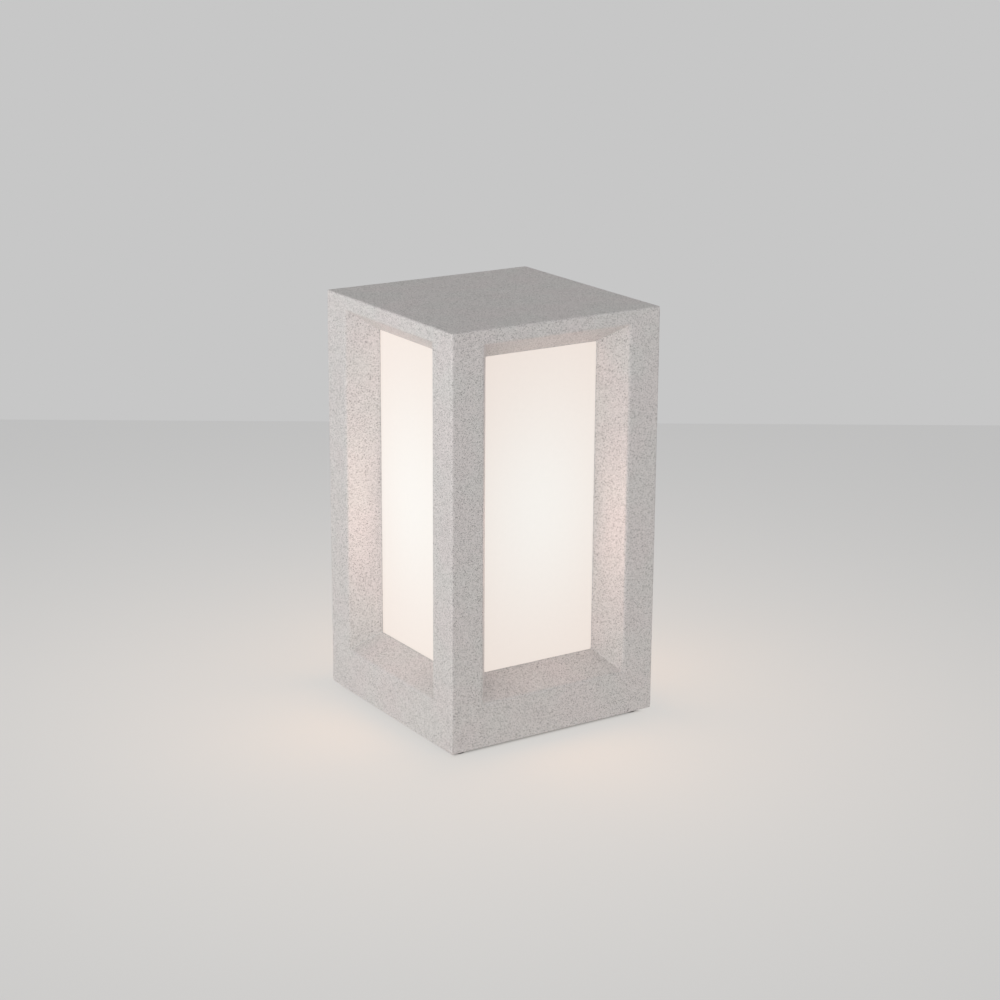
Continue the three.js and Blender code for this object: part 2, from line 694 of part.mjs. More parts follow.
// ---- the bulb ----
function makeBulbCap() {
  const low = BULB_TIP + 3;
  return turned([
    [0, low],
    [CAP_RADIUS - 2.5, low],
    [CAP_RADIUS, low + 1.5],
    [CAP_RADIUS, BULB_CAP_TOP],
    [0, BULB_CAP_TOP],
  ], 28);
}

function makeBulbHousing() {
  const low = BULB_CAP_TOP + GAP;
  const points = [[0, low], [13.8, low]];
  const steps = 4;
  for (let i = 0; i <= steps; i++) {
    const t = i / steps;
    const flare = 14 + 8.5 * Math.sin((t * Math.PI) / 2) ** 1.3;
    points.push([flare, low + 1 + (BULB_NECK - low - 1) * t]);
  }
  points.push([0, BULB_NECK]);
  return turned(points, 24);
}

function globeProfile(inset) {
  const low = BULB_NECK + GAP;
  const neck = 22.5;
  const points = [];
  const steps = 4;
  for (let i = 0; i <= steps; i++) {
    const t = i / steps;
    const r = neck + (BULB_RADIUS - neck) * Math.sin((t * Math.PI) / 2);
    points.push([r - inset, low + (BULB_CENTRE - low) * t]);
  }
  const arc = 6;
  for (let i = 1; i <= arc; i++) {
    const angle = (i / arc) * (Math.PI / 2);
    const r = BULB_RADIUS - inset;
    points.push([i === arc ? 0 : r * Math.cos(angle), BULB_CENTRE + r * Math.sin(angle)]);
  }
  return points;
}

function makeGlobe() {
  const glass = 1.5;
  const low = BULB_NECK + GAP;
  const outer = [[0, low], ...globeProfile(0)];
  const room = globeProfile(glass);
  const inner = [[0, low - 1], [room[0][0], low - 1], ...room];
  return cut(turned(outer, 28), turned(inner, 28));
}

add(bulb, "bulb_contact", turned([
  [0, BULB_TIP],
  [3.2, BULB_TIP],
  [4.2, BULB_TIP + 0.8],
  [0, BULB_TIP + 0.8],
], 20), BRASS);
add(bulb, "bulb_insulator", turned([
  [0, BULB_TIP + 0.8 + GAP],
  [5.2, BULB_TIP + 0.8 + GAP],
  [10, BULB_TIP + 3 - GAP],
  [0, BULB_TIP + 3 - GAP],
], 28), BLACK_GLASS);
add(bulb, "bulb_cap", makeBulbCap(), NICKEL);
add(bulb, "bulb_housing", makeBulbHousing(), BULB_PLASTIC);
add(bulb, "bulb_led_board", rod(19, BULB_NECK + GAP, BULB_NECK + GAP + 1.6, 28), BOARD_WHITE);
add(bulb, "bulb_globe", makeGlobe(), BULB_OPAL);

export default group;
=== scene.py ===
"""The looks of the stone lantern: cast stone, opal panels, and the metal, rubber and porcelain inside."""
import json
import math

import bmesh
import bpy
from mathutils import Matrix, Vector, noise

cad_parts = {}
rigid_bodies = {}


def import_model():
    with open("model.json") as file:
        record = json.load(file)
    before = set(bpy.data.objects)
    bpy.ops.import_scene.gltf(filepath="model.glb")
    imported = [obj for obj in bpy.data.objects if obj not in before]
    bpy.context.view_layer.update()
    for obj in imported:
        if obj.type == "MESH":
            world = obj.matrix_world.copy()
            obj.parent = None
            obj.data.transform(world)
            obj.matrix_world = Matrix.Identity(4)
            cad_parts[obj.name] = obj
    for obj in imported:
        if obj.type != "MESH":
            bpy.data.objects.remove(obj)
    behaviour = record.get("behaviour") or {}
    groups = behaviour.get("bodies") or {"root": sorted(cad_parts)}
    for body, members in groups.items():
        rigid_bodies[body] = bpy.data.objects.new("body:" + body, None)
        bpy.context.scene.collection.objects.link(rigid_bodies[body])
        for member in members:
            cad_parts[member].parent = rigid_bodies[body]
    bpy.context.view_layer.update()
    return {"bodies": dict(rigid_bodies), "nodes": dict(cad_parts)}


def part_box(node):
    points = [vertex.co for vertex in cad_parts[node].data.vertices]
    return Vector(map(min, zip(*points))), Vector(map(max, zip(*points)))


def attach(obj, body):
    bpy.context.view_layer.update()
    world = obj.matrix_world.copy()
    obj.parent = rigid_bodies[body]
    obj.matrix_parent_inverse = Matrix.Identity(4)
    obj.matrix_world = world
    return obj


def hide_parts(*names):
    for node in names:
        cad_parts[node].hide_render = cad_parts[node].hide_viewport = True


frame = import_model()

MM = 0.001
NODES = frame["nodes"]
BODIES = frame["bodies"]
SIDES = ("front", "right", "back", "left")

# ---- sizes of the stone, in metres; the outside comes from the frame ----
STONE_LOW, STONE_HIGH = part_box("stone_shell")
HALF = STONE_HIGH.x
BASE = STONE_LOW.z
TOP = STONE_HIGH.z
WALL = 25 * MM
ROOF = 17 * MM
POST = 30 * MM
HEAD = 12 * MM
SILL = 38.5 * MM
BEVEL = 17 * MM
CAVITY = HALF - WALL
OPENING_HALF = HALF - POST - BEVEL
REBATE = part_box("base_gasket")[1].x + 1 * MM
REBATE_TOP = BASE + 4.1 * MM

# ---- camera, measured against the photograph's perspective ----
LENS_MM = 85.0
SENSOR_MM = 36.0
CAMERA_YAW = math.radians(32.85)
CAMERA_PITCH = math.radians(16.63)
CAMERA_ROLL = 0.0059
CAMERA_DISTANCE = 1.998
CAMERA_RIGHT = 8.1 * MM
CAMERA_UP = 0.6 * MM


def forward_of(yaw, pitch):
    flat = math.cos(pitch)
    return Vector((math.sin(yaw) * flat, math.cos(yaw) * flat, -math.sin(pitch)))


def make_camera():
    data = bpy.data.cameras.new("camera")
    data.lens = LENS_MM
    data.sensor_width = SENSOR_MM
    camera = bpy.data.objects.new("camera", data)
    bpy.context.scene.collection.objects.link(camera)
    forward = forward_of(CAMERA_YAW, CAMERA_PITCH)
    right = Vector((math.cos(CAMERA_YAW), -math.sin(CAMERA_YAW), 0))
    up = right.cross(forward)
    target = Vector((0, 0, (BASE + TOP) / 2))
    place = target - forward * CAMERA_DISTANCE + right * CAMERA_RIGHT + up * CAMERA_UP
    rolled_right = right * math.cos(CAMERA_ROLL) + up * math.sin(CAMERA_ROLL)
    rolled_up = up * math.cos(CAMERA_ROLL) - right * math.sin(CAMERA_ROLL)
    turn = Matrix((rolled_right, rolled_up, -forward)).transposed().to_4x4()
    camera.matrix_world = Matrix.Translation(place) @ turn
    bpy.context.scene.camera = camera


# ---- shader nodes ----
class Shader:
    """One material and its node tree."""

    def __init__(self, name):
        self.material = bpy.data.materials.new(name)
        self.material.use_nodes = True
        self.tree = self.material.node_tree
        self.tree.nodes.clear()
        self.output = self.tree.nodes.new("ShaderNodeOutputMaterial")
        self.place = self.node("TexCoord").outputs["Object"]

    def node(self, kind, settings=None, **inputs):
        """Adds a node. Inputs are given by socket name, with _ for a space: values, or outputs to link."""
        made = self.tree.nodes.new("ShaderNode" + kind)
        for key, value in (settings or {}).items():
            setattr(made, key, value)
        for key, value in inputs.items():
            self.put(made.inputs[key.replace("_", " ")], value)
        return made

    def put(self, socket, value):
        if isinstance(value, bpy.types.NodeSocket):
            self.tree.links.new(value, socket)
        else:
            socket.default_value = value

    def noise(self, scale, detail=2.0, roughness=0.5, vector=None):
        made = self.node("TexNoise", Scale=scale, Detail=detail, Roughness=roughness)
        self.put(made.inputs["Vector"], vector or self.place)
        return made.outputs["Fac"]

    def cells(self, scale, vector=None):
        """A random value and a distance for each cell of the given size."""
        made = self.node("TexVoronoi", Scale=scale)
        self.put(made.inputs["Vector"], vector or self.place)
        value = self.node("SeparateColor", Color=made.outputs["Color"]).outputs["Red"]
        return value, made.outputs["Distance"]

    def math(self, operation, a, b=0.0, clamp=False):
        made = self.node("Math", {"operation": operation, "use_clamp": clamp})
        self.put(made.inputs[0], a)
        self.put(made.inputs[1], b)
        return made.outputs[0]

    def spread(self, value, low, high):
        """value, from 0 to 1, spread from low to high."""
        made = self.node("MapRange", Value=value)
        made.inputs["To Min"].default_value = low
        made.inputs["To Max"].default_value = high
        return made.outputs["Result"]

    def steps(self, value, stops, smooth="LINEAR"):
        """A ramp through (place, grey) stops."""
        ramp = self.node("ValToRGB", Fac=value)
        ramp.color_ramp.interpolation = smooth
        elements = ramp.color_ramp.elements
        while len(elements) < len(stops):
            elements.new(0.5)
        for element, (place, grey) in zip(elements, stops):
            element.position = place
            element.color = (grey, grey, grey, 1)
        return ramp.outputs["Color"]

    def mix(self, factor, a, b):
        made = self.node("Mix", {"data_type": "RGBA"})
        self.put(made.inputs[0], factor)
        self.put(made.inputs[6], a)
        self.put(made.inputs[7], b)
        return made.outputs[2]

    def scaled(self, colour, factor):
        """A colour times a factor."""
        made = self.node("VectorMath", {"operation": "SCALE"}, Scale=factor)
        self.put(made.inputs[0], colour)
        return made.outputs[0]

    def bump(self, height, depth, strength=1.0, normal=None):
        made = self.node("Bump", Height=height, Distance=depth, Strength=strength)
        if normal is not None:
            self.put(made.inputs["Normal"], normal)
        return made.outputs["Normal"]

    def finish(self, **inputs):
        """Ends the tree in a Principled shader with the given inputs, and returns the material."""
        shader = self.node("BsdfPrincipled", **inputs)
        self.tree.links.new(shader.outputs[0], self.output.inputs["Surface"])
        return self.material


def rgb(red, green, blue):
    return (red, green, blue, 1.0)


STONE_COLOUR = (0.577, 0.551, 0.541)


def stone_material():
    """Light grey cast stone: a pepper of dark grains, a few pale ones, and a faint mottle of hue."""
    s = Shader("cast_stone")
    grain, grain_edge = s.cells(1750)
    fine, _ = s.cells(3000)
    pepper = s.steps(grain, [(0.0, 0.4), (0.08, 0.58), (0.22, 0.94), (0.55, 1.02), (1.0, 1.15)])
    dust = s.spread(fine, 0.92, 1.08)
    mottle = s.spread(s.noise(70, 3.0), 0.965, 1.035)
    shade = s.math("MULTIPLY", s.math("MULTIPLY", pepper, dust), mottle)
    hue = s.steps(s.noise(28, 2.0), [(0.35, 0.0), (0.65, 1.0)])
    red, green, blue = STONE_COLOUR
    pinkish = rgb(red * 1.012, green * 0.995, blue * 0.998)
    greenish = rgb(red * 0.988, green * 1.005, blue * 0.998)
    colour = s.scaled(s.mix(hue, greenish, pinkish), shade)
    height = s.math("ADD", s.math("MULTIPLY", grain_edge, 0.5), s.noise(900, 2.0))
    normal = s.bump(height, 0.12 * MM, 0.55)
    roughness = s.spread(fine, 0.82, 0.97)
    return s.finish(Base_Color=colour, Roughness=roughness, Normal=normal)


BULB_MIDDLE_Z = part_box("bulb_globe")[0].z + 27 * MM
GLOW_ACROSS = 75 * MM
GLOW_UP = 105 * MM
GLOW_ENDS = (0.703, 0.612, 0.556)
GLOW_MIDDLE = (0.762, 0.736, 0.700)
OPAL_COLOUR = (0.17, 0.166, 0.16)


def opal_material(name, side):
    """Opal acrylic lit from behind: whitest in front of the bulb, warmer and dimmer away from it."""
    s = Shader(name)
    across = "Y" if side in ("right", "left") else "X"
    parts = s.node("SeparateXYZ", Vector=s.place)
    sideways = s.math("MULTIPLY", parts.outputs[across], 1 / GLOW_ACROSS)
    height = s.math("SUBTRACT", parts.outputs["Z"], BULB_MIDDLE_Z)
    upright = s.math("MULTIPLY", height, 1 / GLOW_UP)
    reach = s.math("ADD", s.math("POWER", sideways, 2.0), s.math("POWER", upright, 2.0))
    glow = s.math("EXPONENT", s.math("MULTIPLY", reach, -1.0))
    light = s.mix(glow, rgb(*GLOW_ENDS), rgb(*GLOW_MIDDLE))
    haze = s.spread(s.noise(240, 2.0), 0.235, 0.265)
    roughness = s.spread(s.noise(420, 2.0), 0.38, 0.46)
    return s.finish(
        Base_Color=rgb(*OPAL_COLOUR),
        Roughness=roughness,
        Specular_IOR_Level=0.35,
        Emission_Color=s.scaled(light, s.math("ADD", haze, 0.75)),
        Emission_Strength=1.0,
    )


def surface(name, colour, roughness, metallic=0.0, grain=300, depth=0.02 * MM, shade=0.05, **more):
    """A plain finish with its own fine grain: a little change of shade, of roughness and of height."""
    s = Shader(name)
    cloud = s.noise(grain / 6, 3.0)
    fine = s.noise(grain, 3.0, 0.6)
    tint = s.math("MULTIPLY", s.spread(cloud, 1 - shade, 1 + shade), s.spread(fine, 0.97, 1.03))
    rough = s.spread(s.math("MULTIPLY", s.math("ADD", cloud, fine), 0.5), roughness * 0.8, roughness * 1.2)
    normal = s.bump(fine, depth, 0.5)
    base = s.scaled(colour, tint)
    return s.finish(Base_Color=base, Roughness=rough, Metallic=metallic, Normal=normal, **more)


# ---- mesh helpers ----
def new_object(name, mesh, material, body):
    piece = bpy.data.objects.new(name, mesh)
    bpy.context.scene.collection.objects.link(piece)
    mesh.materials.append(material)
    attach(piece, body)
    return piece


def mesh_of(bm, name):
    mesh = bpy.data.meshes.new(name)
    bm.to_mesh(mesh)
    bm.free()
    return mesh


def baked(mesh, name, *modifiers):
    """The mesh after some modifiers, each (type, settings), as a new mesh."""
    holder = bpy.data.objects.new(name, mesh)
    bpy.context.scene.collection.objects.link(holder)
    for kind, settings in modifiers:
        modifier = holder.modifiers.new(kind, kind)
        for key, value in settings.items():
            setattr(modifier, key, value)
    bpy.context.view_layer.update()
    graph = bpy.context.evaluated_depsgraph_get()
    result = bpy.data.meshes.new_from_object(holder.evaluated_get(graph))
    bpy.data.objects.remove(holder)
    return result


def shade_smooth(mesh):
    mesh.polygons.foreach_set("use_smooth", [True] * len(mesh.polygons))


# ---- the stone ----
STONE_ACROSS = 34  # quads along a horizontal edge, before they are halved
STONE_UP = 58
FACE_LOOPS = 5
BEVEL_LOOPS = 5
INSIDE_LOOPS = 4
ARRIS = 1.9 * MM  # rounding of the edges on the outer faces
FINE_ARRIS = 0.4  # that of the edges inside, as a share of it


def rectangle(half, low, high, depth, turn):
    """Points round a rectangle on one wall, from its lower left corner as seen from outside."""
    points = []
    for i in range(STONE_ACROSS):
        points.append((-half + 2 * half * i / STONE_ACROSS, low))
    for i in range(STONE_UP):
        points.append((half, low + (high - low) * i / STONE_UP))
    for i in range(STONE_ACROSS):
        points.append((half - 2 * half * i / STONE_ACROSS, high))
    for i in range(STONE_UP):
        points.append((-half, high + (low - high) * i / STONE_UP))
    return [turn @ Vector((across, -depth, up)) for across, up in points]


def between(a, b, count):
    """count shapes from just after a to b, each a list of points."""
    return [[p.lerp(q, i / count) for p, q in zip(a, b)] for i in range(1, count + 1)]


def join_loops(bm, loops):
    rings = [[bm.verts.new(p) for p in loop] for loop in loops]
    for outer, inner in zip(rings, rings[1:]):
        for i in range(len(outer)):
            j = (i + 1) % len(outer)
            bm.faces.new((outer[i], outer[j], inner[j], inner[i]))


def flat_square(bm, half, height, facing_up):
    rows = []
    steps = range(STONE_ACROSS + 1)
    for i in steps:
        y = -half + 2 * half * i / STONE_ACROSS
        rows.append([bm.verts.new((-half + 2 * half * j / STONE_ACROSS, y, height)) for j in steps])
    for i in range(STONE_ACROSS):
        for j in range(STONE_ACROSS):
            quad = [rows[i][j], rows[i][j + 1], rows[i + 1][j + 1], rows[i + 1][j]]
            bm.faces.new(quad if facing_up else quad[::-1])


def square_ring(half, height):
    corners = [Vector((sx * half, sy * half, height)) for sx, sy in ((-1, -1), (1, -1), (1, 1), (-1, 1))]
    points = []
    for a, b in zip(corners, corners[1:] + corners[:1]):
        points += [a.lerp(b, i / STONE_ACROSS) for i in range(STONE_ACROSS)]
    return points


def arris_weight(edge):
    """How strongly an edge of the stone is rounded, from 0 to 1."""
    if len(edge.link_faces) != 2 or edge.calc_face_angle(0.0) < math.radians(20):
        return 0.0
    middle = (edge.verts[0].co + edge.verts[1].co) / 2
    near = 0.01 * MM
    extremes = (
        abs(abs(middle.x) - HALF) < near,
        abs(abs(middle.y) - HALF) < near,
        abs(middle.z - TOP) < near or abs(middle.z - BASE) < near,
    )
    return 1.0 if any(extremes) else FINE_ARRIS


def wear(point):
    """How far the cast surface lies under the mould's, in metres: a slow roll, a fine one and small nicks."""
    slow = noise.noise(point * 60)
    fine = noise.noise(point * 260)
    nick = max(0.0, noise.noise(point * 150 + Vector((7, 3, 5))) - 0.55)
    return 0.09 * MM * (1 + slow) + 0.05 * MM * (1 + fine) + 0.6 * MM * nick


def stone_body():
    bm = bmesh.new()
    for index in range(len(SIDES)):
        turn = Matrix.Rotation(index * math.pi / 2, 3, "Z")
        edge = rectangle(HALF, BASE, TOP, HALF, turn)
        window = rectangle(HALF - POST, BASE + SILL, TOP - HEAD, HALF, turn)
        opening = rectangle(OPENING_HALF, BASE + SILL + BEVEL, TOP - HEAD - BEVEL, CAVITY, turn)
        cavity = rectangle(CAVITY, REBATE_TOP, TOP - ROOF, CAVITY, turn)
        loops = [edge] + between(edge, window, FACE_LOOPS)
        loops += between(window, opening, BEVEL_LOOPS)
        loops += between(opening, cavity, INSIDE_LOOPS)
        join_loops(bm, loops)
    flat_square(bm, HALF, TOP, True)
    flat_square(bm, CAVITY, TOP - ROOF, False)
    outer = square_ring(HALF, BASE)
    lip = square_ring(REBATE, BASE)
    step = square_ring(REBATE, REBATE_TOP)
    inner = square_ring(CAVITY, REBATE_TOP)
    join_loops(bm, ([outer, lip, step] + between(step, inner, 3))[::-1])
    bmesh.ops.remove_doubles(bm, verts=bm.verts, dist=0.005 * MM)
    bmesh.ops.recalc_face_normals(bm, faces=bm.faces)
    weights = bm.edges.layers.float.new("bevel_weight_edge")
    for edge in bm.edges:
        edge[weights] = arris_weight(edge)
    return mesh_of(bm, "stone_blank")


def box_between(bm, low, high):
    low, high = Vector(low), Vector(high)
    made = bmesh.ops.create_cube(bm, size=1.0)
    bmesh.ops.scale(bm, verts=made["verts"], vec=high - low)
    bmesh.ops.translate(bm, verts=made["verts"], vec=(low + high) / 2)


CUT_PAST = 5 * MM  # how far a cutter goes past what it opens into
SADDLE_ROOM_HALF = 10.1 * MM
NOTCH_HALF = 6.5 * MM
NOTCH_HEIGHT = 10.5 * MM


def cutters_for_stone():
    """What is cut from the stone's underside: first the insert holes and the room for the gasket's saddle,
    then the cable notch, which opens into that room."""
    under = BASE - CUT_PAST
    room = bmesh.new()
    for i in range(1, 5):
        low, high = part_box(f"threaded_insert_{i}")
        middle = (low + high) / 2
        radius = (high.x - low.x) / 2 + 0.3 * MM
        top = high.z + 0.6 * MM
        made = bmesh.ops.create_cone(
            room, cap_ends=True, segments=32, radius1=radius, radius2=radius, depth=top - BASE
        )
        bmesh.ops.translate(room, verts=made["verts"], vec=(middle.x, middle.y, (top + BASE) / 2))
    gasket_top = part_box("base_gasket")[1].z
    box_between(
        room,
        (-SADDLE_ROOM_HALF, CAVITY - CUT_PAST, under),
        (SADDLE_ROOM_HALF, REBATE, gasket_top + 0.3 * MM),
    )
    notch = bmesh.new()
    box_between(
        notch,
        (-NOTCH_HALF, REBATE - CUT_PAST, under),
        (NOTCH_HALF, HALF + CUT_PAST, BASE + NOTCH_HEIGHT),
    )
    return mesh_of(room, "stone_room"), mesh_of(notch, "stone_notch")


def cut_from(mesh, tool):
    """The mesh with another mesh cut from it."""
    cutter = bpy.data.objects.new("cutter", tool)
    bpy.context.scene.collection.objects.link(cutter)
    result = baked(mesh, "cut", ("BOOLEAN", {"object": cutter, "operation": "DIFFERENCE", "solver": "EXACT"}))
    bpy.data.objects.remove(cutter)
    return result


def make_stone():
    rounded = baked(
        stone_body(),
        "stone_rounded",
        ("BEVEL", {"width": ARRIS, "segments": 3, "limit_method": "WEIGHT", "use_clamp_overlap": True}),
        ("SUBSURF", {"subdivision_type": "SIMPLE", "levels": 1, "render_levels": 1}),
    )
    worn = [v.co - v.normal * wear(v.co) for v in rounded.vertices]
    for vertex, place in zip(rounded.vertices, worn):
        vertex.co = place
    cut = rounded
    for tool in cutters_for_stone():
        cut = cut_from(cut, tool)
    shade_smooth(cut)
    stone = new_object("stone_casting", cut, stone_material(), "shell")
    weighted = stone.modifiers.new("weighted", "WEIGHTED_NORMAL")
    weighted.keep_sharp = True
    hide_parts("stone_shell")


# ---- turned and threaded pieces ----
def turned(profile, segments=64, shape=None, closed=False):
    """A profile of (radius, height) points, in metres, turned about Z. shape(radius, height, angle) may
    change the radius. A closed profile comes back to its first point, as a sleeve's does."""
    bm = bmesh.new()
    rings = []
    for radius, height in profile:
        if radius == 0:
            rings.append([bm.verts.new((0, 0, height))])
            continue
        ring = []
        for i in range(segments):
            angle = 2 * math.pi * i / segments
            reach = shape(radius, height, angle) if shape else radius
            ring.append(bm.verts.new((reach * math.cos(angle), reach * math.sin(angle), height)))
        rings.append(ring)
    pairs = list(zip(rings, rings[1:])) + ([(rings[-1], rings[0])] if closed else [])
    for low, high in pairs:
        if len(low) == len(high) == 1:
            continue
        for i in range(segments):
            j = (i + 1) % segments
            corners = [low[i % len(low)], low[j % len(low)], high[j % len(high)], high[i % len(high)]]
            bm.faces.new(list(dict.fromkeys(corners)))
    bmesh.ops.recalc_face_normals(bm, faces=bm.faces)
    return bm


def moved(bm, place, turn=None):
    """Turns a mesh about the origin, then moves it."""
    if turn is not None:
        bmesh.ops.rotate(bm, verts=bm.verts, cent=(0, 0, 0), matrix=turn)
    bmesh.ops.translate(bm, verts=bm.verts, vec=place)
    return bm


ALONG_Y = Matrix.Rotation(-math.pi / 2, 3, "X")
EDGE_ANGLE = math.radians(32)


def piece_of(bm, name, body, finish, slot, *nodes):
    """A shown piece from a mesh: smooth, with its sharp edges kept, in place of the CAD nodes named."""
    mesh = mesh_of(bm, name)
    shade_smooth(mesh)
    mesh.set_sharp_from_angle(angle=EDGE_ANGLE)
    piece = new_object(name, mesh, finish[slot], body)
    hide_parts(*nodes)
    return piece


def levels(low, high, step):
    """Heights from low to high, about a step apart."""
    count = max(1, round((high - low) / step))
    return [low + (high - low) * i / count for i in range(count + 1)]


def arc(centre_radius, centre_height, radius, start, end, count):
    """Profile points round an arc, with its angles in degrees from the outward direction."""
    points = []
    for i in range(count + 1):
        angle = math.radians(start + (end - start) * i / count)
        points.append((centre_radius + radius * math.cos(angle), centre_height + radius * math.sin(angle)))
    return points


def wave(turns):
    """A triangular wave of a number of turns, from 0 in the root to 1 on the crest."""
    return 1 - abs(2 * (turns % 1) - 1)


def threaded(low, high, pitch, depth, rounded=False):
    """A shape for turned(): a helical thread cut into the bar between two heights, fading at its ends."""

    def shape(radius, height, angle):
        if not low <= height <= high:
            return radius
        fade = min(1, (height - low) / pitch, (high - height) / pitch)
        crest = wave((height - low) / pitch - angle / (2 * math.pi))
        if rounded:
            crest = (1 - math.cos(math.pi * crest)) / 2
        return radius - depth * (1 - crest) * fade

    return shape


def hexagonal(angle, across):
    """The distance to a hexagon's side at an angle, for the distance between its flats."""
    turn = (angle + math.pi / 6) % (math.pi / 3) - math.pi / 6
    return across / 2 / math.cos(turn)


def middle_of(node):
    low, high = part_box(node)
    return (low + high) / 2


def radius_of(node):
    low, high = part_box(node)
    return (high.x - low.x) / 2


def make_feet(finish):
    """Moulded rubber feet: a rounded tread, a waist, and a shallow cup underneath."""
    for i in range(1, 5):
        node = f"foot_{i}"
        low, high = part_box(node)
        radius = radius_of(node)
        height = high.z - low.z
        soft = 0.9 * MM
        profile = [(0, 0.5 * MM), (radius * 0.35, 0.5 * MM), (radius * 0.5, 0.08 * MM)]
        profile += arc(radius - soft, soft, soft, -90, 0, 6)
        profile += [(radius, height * 0.5), (radius - 0.25 * MM, height * 0.62), (radius, height * 0.74)]
        profile += arc(radius - 0.4 * MM, height - 0.4 * MM, 0.4 * MM, 0, 90, 4)
        profile += [(0, height)]
        middle = middle_of(node)
        bm = moved(turned(profile), (middle.x, middle.y, low.z))
        piece_of(bm, f"rubber_foot_{i}", "base", finish, "black_rubber", node)


def socket_screw(head_radius, head_height, radius, length, pitch, across):
    """A button-head screw with a hexagon socket, its head's crown at the bottom and its end at the top."""
    socket_depth = head_height * 0.62
    bottom = [(0, socket_depth), (across / 2, socket_depth - 0.05 * MM), (across / 2, 0.12 * MM)]
    crown = [(across / 2 + 0.35 * MM, 0)]
    crown += arc(head_radius * 0.62, head_height * 0.62, head_radius * 0.38, -72, 0, 6)
    neck = [(head_radius, head_height), (radius, head_height)]
    start = head_height + 0.4 * MM
    end = head_height + length
    shank = [(radius, height) for height in levels(start, end - 0.5 * MM, pitch / 6)]
    tip = [(radius * 0.72, end), (0, end)]
    thread = threaded(start, end, pitch, pitch * 0.55)

    def shape(reach, height, angle):
        if height <= socket_depth and reach <= across / 2:
            return hexagonal(angle, across)
        return thread(reach, height, angle)

    return turned(bottom + crown + neck + shank + tip, 48, shape)


def make_base_screws(finish):
    for i in range(1, 5):
        node = f"base_screw_{i}"
        low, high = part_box(node)
        head = 2.4 * MM
        bm = socket_screw(radius_of(node), head, 2.0 * MM, high.z - low.z - head, 0.7 * MM, 2.5 * MM)
        middle = middle_of(node)
        piece_of(moved(bm, (middle.x, middle.y, low.z)), f"tray_screw_{i}", "base", finish, "stainless", node)


def make_inserts(finish):
    """Knurled brass inserts, cast into the stone's rim, with a threaded bore."""
    for i in range(1, 5):
        node = f"threaded_insert_{i}"
        low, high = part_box(node)
        radius = radius_of(node)
        length = high.z - low.z
        bore = 2.25 * MM
        outside = [(radius - 0.3 * MM, 0)]
        outside += [(radius, z) for z in levels(0.3 * MM, length - 0.3 * MM, 1.2 * MM)]
        outside += [(radius - 0.3 * MM, length)]
        inside = [(bore, z) for z in levels(0, length, 0.12 * MM)[::-1]]
        thread = threaded(0, length, 0.7 * MM, -0.25 * MM)

        def shape(reach, height, angle, radius=radius, thread=thread, length=length):
            if reach < radius * 0.8:
                return thread(reach, height, angle)
            grip = 0.3 * MM < height < length - 0.3 * MM
            return reach - (0.25 * MM * wave(24 * angle / (2 * math.pi)) if grip else 0)

        middle = middle_of(node)
        bm = moved(turned(outside + inside, 96, shape, closed=True), (middle.x, middle.y, low.z))
        piece_of(bm, f"brass_insert_{i}", "shell", finish, "brass", node)


E27_PITCH = 3.63 * MM
HOUSING_STEPS = 28
HOUSING_SEAMS = (2, 26)  # the steps at which the housing has a groove
DOME_STEPS = 24
DOME_GLASS = 1.3 * MM


